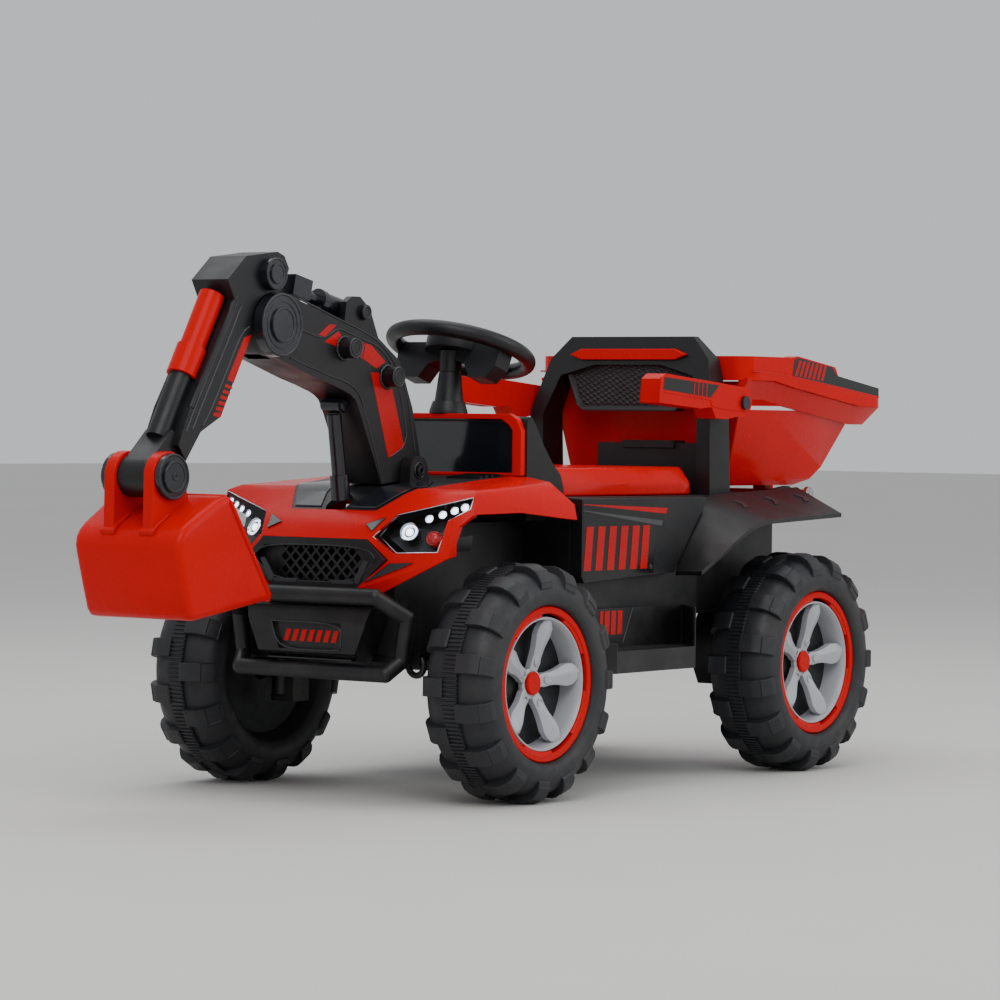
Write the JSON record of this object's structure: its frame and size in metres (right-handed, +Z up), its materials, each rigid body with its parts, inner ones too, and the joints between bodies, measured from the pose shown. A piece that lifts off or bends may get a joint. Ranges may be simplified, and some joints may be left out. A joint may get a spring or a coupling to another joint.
{
  "type": "ride on digger",
  "caption": "Child's battery ride-on digger with steered tread wheels, hood-mounted digging arm and bucket, seat with fold-up armrests and a tipping dump bed.",
  "frame": {"origin": "on the ground, below the middle of the vehicle's length and width", "axes": "+Y toward the rear of the vehicle, +X toward its left side, +Z up"},
  "size_m": [0.472, 1.26, 0.59],
  "materials": {
    "red_shell": "gloss",
    "black_plastic": "satin",
    "dark_plastic": "gloss",
    "tyre": "moulded tread",
    "silver": "satin silver",
    "steel": "drawn rod",
    "lens": "clear moulded plastic",
    "led": "lit white",
    "amber": "gloss",
    "cushion": "quilted mesh"
  },
  "bodies": {
    "chassis": {"chassis_tub": "black_plastic", "hood": "red_shell", "grille": "black_plastic", "hood_deck": "black_plastic", "hood_trims": "dark_plastic", "headlight_bezels": "black_plastic", "headlight_lenses": "lens", "headlight_leds": "led", "turn_lamps": "amber", "bumper_bar": "black_plastic", "skid_plate": "black_plastic", "tow_ring": "black_plastic", "windscreen": "dark_plastic", "windscreen_frame": "red_shell", "dash_cowl": "black_plastic", "side_panels": "black_plastic", "side_steps": "black_plastic", "rear_fenders": "black_plastic", "seat": "red_shell", "seat_back_frame": "black_plastic", "seat_back_pad": "cushion", "seat_back_strip": "red_shell", "battery_box": "black_plastic", "armrest_bolts": "dark_plastic", "bed_pivot_rod": "steel", "front_axle_beam": "black_plastic", "rear_axle": "steel", "gearboxes": "black_plastic"},
    "armrest_left": {"armrest_l": "red_shell"},
    "armrest_right": {"armrest_r": "red_shell"},
    "bed": {"dump_bed": "red_shell"},
    "knuckle_left": {"knuckle_l": "black_plastic"},
    "knuckle_right": {"knuckle_r": "black_plastic"},
    "track_rod": {"tie_rod": "steel"},
    "steering": {"steering_shaft": "steel", "steering_wheel": "black_plastic"},
    "horn": {"horn_pad": "dark_plastic"},
    "wheel_fl": {"tyre_fl": "tyre", "wheel_trim_fl": "red_shell", "wheel_cover_fl": "silver"},
    "wheel_fr": {"tyre_fr": "tyre", "wheel_trim_fr": "red_shell", "wheel_cover_fr": "silver"},
    "wheel_rl": {"tyre_rl": "tyre", "wheel_trim_rl": "red_shell", "wheel_cover_rl": "silver"},
    "wheel_rr": {"tyre_rr": "tyre", "wheel_trim_rr": "red_shell", "wheel_cover_rr": "silver"},
    "boom_arm": {"boom": "black_plastic", "boom_strut": "dark_plastic"},
    "stick_arm": {"stick": "black_plastic", "stick_tube": "red_shell", "arm_pins": "dark_plastic"},
    "barrel": {"arm_barrel": "dark_plastic"},
    "rod": {"arm_rod": "dark_plastic"},
    "scoop": {"bucket": "red_shell", "bucket_pin": "dark_plastic"},
    "accelerator": {"pedal": "black_plastic"}
  },
  "joints": [
    {"name": "steer", "type": "hinge", "parent": "chassis", "child": "steering", "pos_m": [0, -0.0775, 0.475], "axis": [0, 0.0523, 0.9986], "range_deg": [-20, 20]},
    {"name": "knuckle_left_turn", "type": "hinge", "parent": "chassis", "child": "knuckle_left", "pos_m": [0.138, -0.2025, 0.1296], "axis": [0, 0, 1], "range_deg": [-12.5, 12.5]},
    {"name": "knuckle_right_turn", "type": "hinge", "parent": "chassis", "child": "knuckle_right", "pos_m": [-0.138, -0.2025, 0.1296], "axis": [0, 0, 1], "range_deg": [-12.5, 12.5]},
    {"name": "track_rod_turn", "type": "hinge", "parent": "knuckle_left", "child": "track_rod", "pos_m": [0.138, -0.1525, 0.141], "axis": [0, 0, 1], "range_deg": [-12.5, 12.5]},
    {"name": "horn_press", "type": "slide", "parent": "steering", "child": "horn", "axis": [0, -0.309, -0.9511], "range_m": [0, 0.003], "stiffness_N_per_m": 300},
    {"name": "wheel_fl_spin", "type": "hinge", "parent": "knuckle_left", "child": "wheel_fl", "pos_m": [0.191, -0.2025, 0.1296], "axis": [1, 0, 0], "continuous": true},
    {"name": "wheel_fr_spin", "type": "hinge", "parent": "knuckle_right", "child": "wheel_fr", "pos_m": [-0.191, -0.2025, 0.1296], "axis": [1, 0, 0], "continuous": true},
    {"name": "wheel_rl_spin", "type": "hinge", "parent": "chassis", "child": "wheel_rl", "pos_m": [0.191, 0.3525, 0.1296], "axis": [1, 0, 0], "continuous": true},
    {"name": "wheel_rr_spin", "type": "hinge", "parent": "chassis", "child": "wheel_rr", "pos_m": [-0.191, 0.3525, 0.1296], "axis": [1, 0, 0], "continuous": true},
    {"name": "boom_lift", "type": "hinge", "parent": "chassis", "child": "boom_arm", "pos_m": [0, -0.1875, 0.357], "axis": [-1, 0, 0], "range_deg": [0, 25]},
    {"name": "stick_swing", "type": "hinge", "parent": "boom_arm", "child": "stick_arm", "pos_m": [0, -0.4255, 0.512], "axis": [1, 0, 0], "range_deg": [-12, 15]},
    {"name": "barrel_swing", "type": "hinge", "parent": "boom_arm", "child": "barrel", "pos_m": [0, -0.2665, 0.53], "axis": [1, 0, 0], "range_deg": [-6, 6]},
    {"name": "rod_slide", "type": "slide", "parent": "barrel", "child": "rod", "axis": [0, -0.9767, 0.2144], "range_m": [-0.017, 0.017]},
    {"name": "bucket_curl", "type": "hinge", "parent": "stick_arm", "child": "scoop", "pos_m": [0, -0.5995, 0.352], "axis": [1, 0, 0], "range_deg": [-30, 35]},
    {"name": "armrest_left_lift", "type": "hinge", "parent": "chassis", "child": "armrest_left", "pos_m": [0.146, 0.2925, 0.438], "axis": [-1, 0, 0], "range_deg": [0, 75]},
    {"name": "armrest_right_lift", "type": "hinge", "parent": "chassis", "child": "armrest_right", "pos_m": [-0.146, 0.2925, 0.438], "axis": [-1, 0, 0], "range_deg": [0, 75]},
    {"name": "bed_tip", "type": "hinge", "parent": "chassis", "child": "bed", "pos_m": [0, 0.4775, 0.328], "axis": [-1, 0, 0], "range_deg": [0, 50]},
    {"name": "pedal_press", "type": "hinge", "parent": "chassis", "child": "accelerator", "pos_m": [-0.182, 0.0495, 0.165], "axis": [1, 0, 0], "range_deg": [0, 14], "stiffness_Nm_per_rad": 1.2}
  ],
  "couplings": [
    {"joint": "knuckle_left_turn", "follows": "steer", "ratio": 0.6},
    {"joint": "knuckle_right_turn", "follows": "steer", "ratio": 0.6},
    {"joint": "track_rod_turn", "follows": "steer", "ratio": -0.6},
    {"joint": "barrel_swing", "follows": "stick_swing", "ratio": 0.10573},
    {"joint": "rod_slide", "follows": "stick_swing", "m_per_rad": 0.050874}
  ]
}
